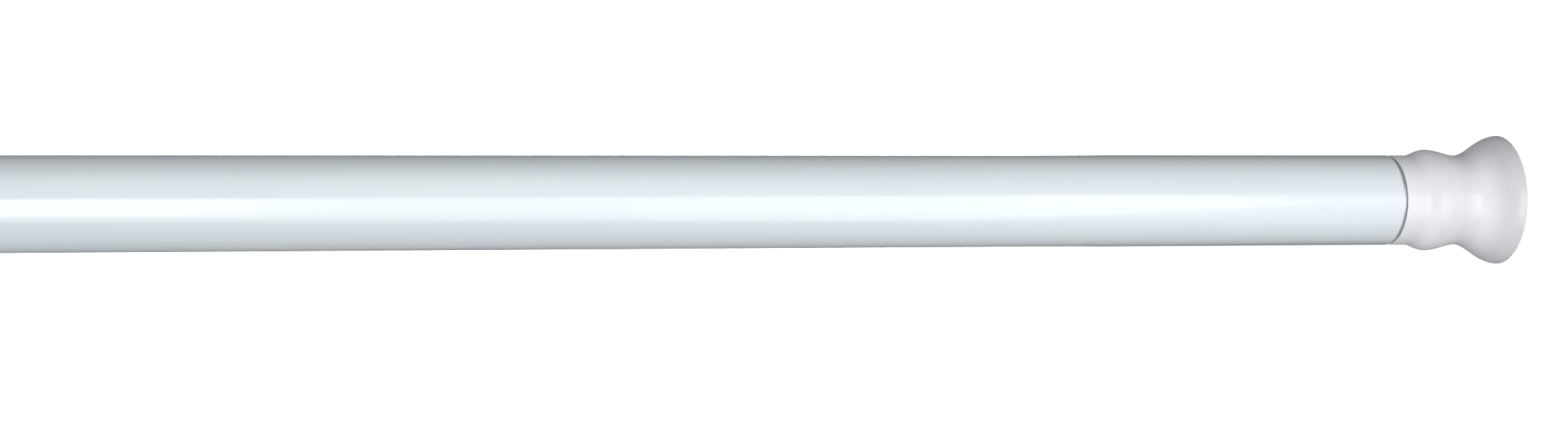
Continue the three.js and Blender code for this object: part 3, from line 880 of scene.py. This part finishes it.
pinReach = crossPin["length"] / 2
pinShape = barOutline(-pinReach, pinReach, crossPin["radius"], crossPin["edge"])
pin = uprightBar("spindleCrossPin", pinAt, pinShape, zincPlate)
seatBack = flangeBack - play["touch"] - springSeat["thickness"]
stopBack = bushBack - play["touch"] - stopWasher["thickness"]
settle(lockSpindle(), "lock_core", "nylon", "lock_spindle")
for piece, node in (
    (retainingScrew(), "retaining_screw"),
    (drawRod(), "draw_rod"),
    (pin, "spindle_cross_pin"),
    (hexagonNut(), "stop_nut"),
    (washer("noseWasher", lockAt, play["touch"], noseWasher), "nose_washer"),
    (washer("springWasherFront", lockAt, seatBack, springSeat), "spring_washer_front"),
    (washer("stopWasher", lockAt, stopBack, stopWasher), "stop_washer"),
):
    settle(piece, "lock_core", "zinc_steel", node)
settle(washer("springWasherRear", bushFace, play["touch"], springSeat), "inner_rod", "zinc_steel",
       "spring_washer_rear")
print("lock made")


# Winds a wire from the front of the spring towards -X, with closed turns at both ends.
def makeSpringTree():
    tree, given = newShapeTree("woundSpring", [
        ("Front", "Float", 0.0),
        ("Length", "Float", 60 * mm),
        ("Mean Radius", "Float", 8 * mm),
        ("Wire Radius", "Float", 0.8 * mm),
        ("Turns", "Float", 10.0),
        ("End Turns", "Float", 1.0),
        ("Closed Pitch", "Float", 1.7 * mm),
        ("Steps Per Turn", "Int", 36),
        ("Sides", "Int", 16),
        ("Finish", "Material", None),
    ])
    allTurns = calc(tree, "MULTIPLY_ADD", given["End Turns"], 2.0, given["Turns"])
    count = calc(tree, "MULTIPLY_ADD", allTurns, given["Steps Per Turn"], 1.0)
    line = addNode(tree, "GeometryNodeCurvePrimitiveLine")
    dots = addNode(tree, "GeometryNodeResampleCurve", Curve=line, Count=count)
    index = addNode(tree, "GeometryNodeInputIndex")
    turn = calc(tree, "DIVIDE", index, given["Steps Per Turn"])
    opened = calc(tree, "DIVIDE", calc(tree, "SUBTRACT", turn, given["End Turns"]), given["Turns"],
                  clamp=True)
    closed = calc(tree, "SUBTRACT", turn, calc(tree, "MULTIPLY", opened, given["Turns"]))
    closedEnd = calc(tree, "MULTIPLY_ADD", given["End Turns"], given["Closed Pitch"], given["Wire Radius"])
    openLength = calc(tree, "MULTIPLY_ADD", closedEnd, -2.0, given["Length"])
    along = calc(tree, "MULTIPLY_ADD", closed, given["Closed Pitch"], given["Wire Radius"])
    along = calc(tree, "MULTIPLY_ADD", opened, openLength, along)
    angle = calc(tree, "MULTIPLY", turn, 2 * math.pi)
    place = addNode(tree, "ShaderNodeCombineXYZ", X=calc(tree, "SUBTRACT", given["Front"], along),
                    Y=calc(tree, "MULTIPLY", given["Mean Radius"], calc(tree, "COSINE", angle)),
                    Z=calc(tree, "MULTIPLY", given["Mean Radius"], calc(tree, "SINE", angle)))
    coiled = addNode(tree, "GeometryNodeSetPosition", Geometry=dots, Position=place)
    section = addNode(tree, "GeometryNodeCurvePrimitiveCircle", Resolution=given["Sides"],
                      Radius=given["Wire Radius"])
    swept = addNode(tree, "GeometryNodeCurveToMesh", Curve=coiled, Profile_Curve=section,
                    Fill_Caps=True)
    whole = addNode(tree, "GeometryNodeRealizeInstances", Geometry=swept)
    coated = addNode(tree, "GeometryNodeSetMaterial", Geometry=whole, Material=given["Finish"])
    addNode(tree, "NodeGroupOutput", Geometry=coated)
    return tree


spring = {"length": 60, "mean": 8.3, "wire": 0.8, "turns": 10, "travel": 25, "gap": 0.1}


def compressionSpring(front):
    coil = newObject("compressionSpring", [])
    shapeWith(coil, makeSpringTree(), {
        "Front": front,
        "Length": spring["length"] * mm,
        "Mean Radius": spring["mean"] * mm,
        "Wire Radius": spring["wire"] * mm,
        "Turns": float(spring["turns"]),
        "Closed Pitch": (2 * spring["wire"] + spring["gap"]) * mm,
        "Finish": springWire,
    })
    settle(shadeByAngle(coil), "lock_core", "spring_steel", "compression_spring")
    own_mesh(coil)


compressionSpring(lockAt + (flangeBack - springSeat["thickness"] - 2 * play["touch"]) * mm)


# Pressed into the slim tube: its flange runs in the outer tube and its square hole turns the rod.
def tailBush():
    back = -bush["flange"] - bush["length"]
    fitted = slimBore - play["snug"]
    piece = turnPiece("tailBush", [
        (back, 0),
        (back, fitted - bush["lead"], 0.2),
        (back + bush["lead"], fitted, 0.2),
        (-bush["flange"], fitted, 0.1),
        (-bush["flange"], runningRadius, 0.3),
        (0, runningRadius, 0.4),
        (0, 0),
    ], naturalNylon, origin=bushFace)
    hole = block("squareHole", bushFace, back - past, past, bush["squareHole"], bush["squareHole"],
                 naturalNylon)
    return combine(piece, "DIFFERENCE", hole, rivetHoles(naturalNylon))


def bushRivet(name, angle):
    seat = slimTube["radius"] + play["snug"]
    low, high = seat - rivet["length"], seat + rivet["headHeight"]
    piece = uprightBar(name, rivetAt, [
        (low, 0),
        (low, rivet["radius"], 0.2),
        (seat, rivet["radius"]),
        (seat, rivet["head"], 0.1),
        (high, rivet["head"] - rivet["domed"], 0.25),
        (high, 0),
    ], zincPlate)
    return moved(piece, Matrix.Rotation(angle, 4, "X"))


settle(tailBush(), "inner_rod", "nylon", "tail_bush")
settle(bushRivet("bushRivetTop", 0), "inner_rod", "zinc_steel", "bush_rivet_top")
settle(bushRivet("bushRivetBottom", math.pi), "inner_rod", "zinc_steel", "bush_rivet_bottom")
print("spring and tail bush made")


# The camera looks at the right-hand end from the left of square on, level with the tube's top. Its
# offset is metres from that end of the tube, its angles are degrees and its lens millimetres.
view = {"offset": (-0.7043, -1.3442, 0.0125), "turned": 21.27, "down": 0.700, "rolled": -0.025,
        "lens": 123.59}


def placeCamera():
    camera = bpy.data.objects.new("camera", bpy.data.cameras.new("camera"))
    bpy.context.scene.collection.objects.link(camera)
    camera.data.lens = view["lens"]
    camera.data.sensor_width = 36
    camera.data.sensor_fit = "HORIZONTAL"
    camera.data.clip_start = 0.05
    camera.location = Vector((tubeRight, 0, 0)) + Vector(view["offset"])
    camera.rotation_euler = [math.radians(angle) for angle in
                             (90 - view["down"], view["rolled"], -view["turned"])]
    bpy.context.scene.camera = camera


aim = Vector((-0.2, 0, 0))


# A soft box that shines on the rod from so many degrees round to the right of the front and degrees
# above level. Its distance, width and height are metres.
def softBox(name, around, above, watts, size=(0.7, 0.7), far=1.6):
    turn, climb = math.radians(around), math.radians(above)
    toward = Vector((math.sin(turn) * math.cos(climb), -math.cos(turn) * math.cos(climb),
                     math.sin(climb)))
    light = bpy.data.lights.new(name, "AREA")
    light.shape = "RECTANGLE"
    light.size, light.size_y = size
    light.energy = watts
    lamp = bpy.data.objects.new(name, light)
    bpy.context.scene.collection.objects.link(lamp)
    lamp.location = aim + toward * far
    lamp.rotation_euler = toward.to_track_quat("Z", "Y").to_euler()
    lamp.visible_camera = False


# A broad key from the front, dimmer strips above and below it, and fill from the sides and back.
def placeLights():
    softBox("key", around=23, above=-10, watts=14, size=(1.6, 1.28))
    softBox("keyCore", around=13, above=-10, watts=2.8, size=(0.45, 1.2))
    softBox("brow", around=20, above=11, watts=0.8, size=(1.6, 0.28))
    softBox("low", around=20, above=-38, watts=2.1, size=(1.6, 0.28))
    softBox("overhead", around=13, above=43, watts=4.4, size=(1.6, 1.4))
    softBox("left", around=-75, above=0, watts=75, size=(1.5, 1.8), far=4)
    softBox("leftLow", around=-100, above=-30, watts=34, size=(1.5, 1.8), far=4)
    softBox("leftHigh", around=-32, above=35, watts=0.6, size=(0.6, 0.7))
    softBox("right", around=85, above=0, watts=9)
    softBox("rightFront", around=60, above=0, watts=1.2)
    softBox("rightLow", around=60, above=-30, watts=0.7)
    softBox("rightBack", around=110, above=-20, watts=2.5)
    softBox("back", around=180, above=0, watts=18, size=(1.8, 0.5), far=1.8)


# A floor and dome that only the camera sees, so that they throw no light on the white rod. They are
# pale grey, and lit up to white in the wedge behind the rod as the camera sees it.
studio = {"floorAt": -0.5, "radius": 20, "pale": 0.76, "white": 1.03, "wedgeTurned": 20.5,
          "wedgeFrom": (2, 7), "wedgeWide": (0.22, 0.6), "ambient": (0.186, 0.194, 0.200)}


def backdropFinish():
    backdrop, tree = emptyMaterial("studio_backdrop")
    place = addNode(tree, "ShaderNodeTexCoord").outputs["Object"]
    turned = addNode(tree, "ShaderNodeVectorRotate", {"rotation_type": "Z_AXIS"}, Vector=place,
                     Angle=math.radians(studio["wedgeTurned"]))
    parts = addNode(tree, "ShaderNodeSeparateXYZ", Vector=turned)
    sideways, forward = calc(tree, "ABSOLUTE", parts.outputs["X"]), parts.outputs["Y"]
    spread = calc(tree, "DIVIDE", sideways, calc(tree, "MAXIMUM", forward, 0.1))
    lit = calc(tree, "MULTIPLY", between(tree, forward, 0, 1, *studio["wedgeFrom"]),
               between(tree, spread, 1, 0, *studio["wedgeWide"]))
    glow = addNode(tree, "ShaderNodeEmission",
                   Strength=between(tree, lit, studio["pale"], studio["white"], 0, 1))
    tree.links.new(glow.outputs[0], tree.nodes.new("ShaderNodeOutputMaterial").inputs["Surface"])
    return backdrop


def levelCircle(radius, height, sides):
    turns = [2 * math.pi * i / sides for i in range(sides)]
    return [(radius * math.cos(turn), radius * math.sin(turn), height) for turn in turns]


def placeStudio():
    backdrop = backdropFinish()
    reach, rings, sides = studio["radius"], 16, 48
    ground = levelCircle(reach, studio["floorAt"], sides)
    floor = newObject("studioFloor", ground, faces=[tuple(range(sides))])
    points = []
    for k in range(1, rings):
        tilt = math.pi * k / rings
        points += levelCircle(reach * math.sin(tilt), reach * math.cos(tilt), sides)
    quads = [(k * sides + i, k * sides + (i + 1) % sides, (k + 1) * sides + (i + 1) % sides,
              (k + 1) * sides + i) for k in range(rings - 2) for i in range(sides)]
    ends = [tuple(range(sides)), tuple((rings - 2) * sides + i for i in reversed(range(sides)))]
    dome = newObject("studioDome", points, faces=quads + ends)
    for stageObject in (floor, dome):
        stageObject.data.materials.append(backdrop)
        stageObject.visible_diffuse = False
        stageObject.visible_glossy = False
        stageObject.visible_transmission = False
        stageObject.visible_shadow = False
    world = bpy.data.worlds.new("studio")
    world.use_nodes = True
    world.node_tree.nodes["Background"].inputs["Color"].default_value = (*studio["ambient"], 1)
    bpy.context.scene.world = world
    bpy.context.scene.view_settings.view_transform = "Standard"


placeCamera()
placeLights()
placeStudio()
print("camera, lights and studio placed")
